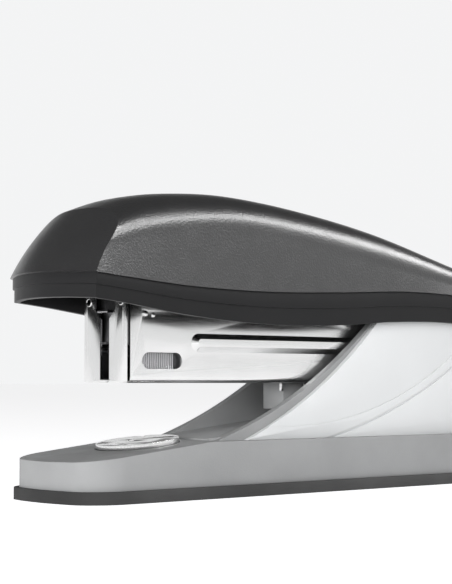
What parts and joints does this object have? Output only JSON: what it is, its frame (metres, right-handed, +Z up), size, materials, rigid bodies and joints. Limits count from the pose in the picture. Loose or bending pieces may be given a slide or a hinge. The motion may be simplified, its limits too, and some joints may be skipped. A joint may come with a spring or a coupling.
{
  "type": "desk stapler",
  "caption": "Desk stapler: soft-topped black handle over a chromed magazine with a staple window, hinged between white-panelled cheeks on a low base with a turntable anvil.",
  "frame": {"origin": "on the desk, under the middle of the stapler's bounding box", "axes": "+X from the nose back to the hinge, +Y across to the stapler's right as seen from the nose, +Z up"},
  "size_m": [0.179, 0.038, 0.0774],
  "materials": {
    "cover_plastic": "fine leather grain",
    "skirt_plastic": "satin",
    "nickel_steel": "nickel plated",
    "sheet_steel": "zinc plated",
    "dark_steel": "phosphated",
    "spring_steel": "drawn wire",
    "staple_wire": "galvanised",
    "white_plastic": "satin gloss",
    "grey_plastic": "fine texture",
    "dark_plastic": "satin",
    "sole_rubber": "matt"
  },
  "bodies": {
    "base": {"base_frame": "grey_plastic", "side_panel_left": "white_plastic", "side_panel_right": "white_plastic", "base_plate": "sheet_steel", "rubber_sole": "sole_rubber", "hinge_pin": "sheet_steel", "pin_washers": "sheet_steel", "base_screws": "sheet_steel", "lift_spring": "spring_steel"},
    "anvil": {"anvil_plate": "nickel_steel", "anvil_button": "dark_plastic", "anvil_washer": "spring_steel"},
    "magazine": {"magazine_channel": "nickel_steel", "nose_plate": "nickel_steel", "staple_rail": "dark_steel", "staple_strip": "staple_wire", "follower_rod": "sheet_steel", "rod_bracket": "sheet_steel", "follower_spring": "spring_steel", "spring_bridge": "sheet_steel", "stop_block": "grey_plastic", "stop_strap": "nickel_steel", "magazine_rivets": "nickel_steel", "pin_sleeve": "sheet_steel"},
    "pusher": {"staple_pusher": "dark_plastic"},
    "handle": {"handle_cover": "cover_plastic", "handle_skirt": "skirt_plastic", "handle_frame": "sheet_steel", "driver_blade": "dark_steel", "driver_rivets": "sheet_steel", "cover_screws": "sheet_steel", "return_spring": "spring_steel"}
  },
  "joints": [
    {"name": "magazine_hinge", "type": "hinge", "parent": "base", "child": "magazine", "pos_m": [0.068, 0, 0.0405], "axis": [0, 1, 0], "range_deg": [-6.3, 40], "stiffness_Nm_per_rad": 3, "springref_deg": 2.58, "deforming": ["lift_spring"]},
    {"name": "handle_hinge", "type": "hinge", "parent": "magazine", "child": "handle", "pos_m": [0.068, 0, 0.0405], "axis": [0, 1, 0], "range_deg": [-4.4, 45], "stiffness_Nm_per_rad": 1.5, "springref_deg": 2.29, "deforming": ["return_spring"]},
    {"name": "pusher_slide", "type": "slide", "parent": "magazine", "child": "pusher", "axis": [1, 0, 0], "range_m": [0, 0.078], "stiffness_N_per_m": 20, "springref_m": -0.02, "deforming": ["follower_spring"]},
    {"name": "anvil_turn", "type": "hinge", "parent": "base", "child": "anvil", "pos_m": [-0.0576, 0, 0.01356], "axis": [-0.1097, 0, 0.994], "range_deg": [0, 180]}
  ]
}
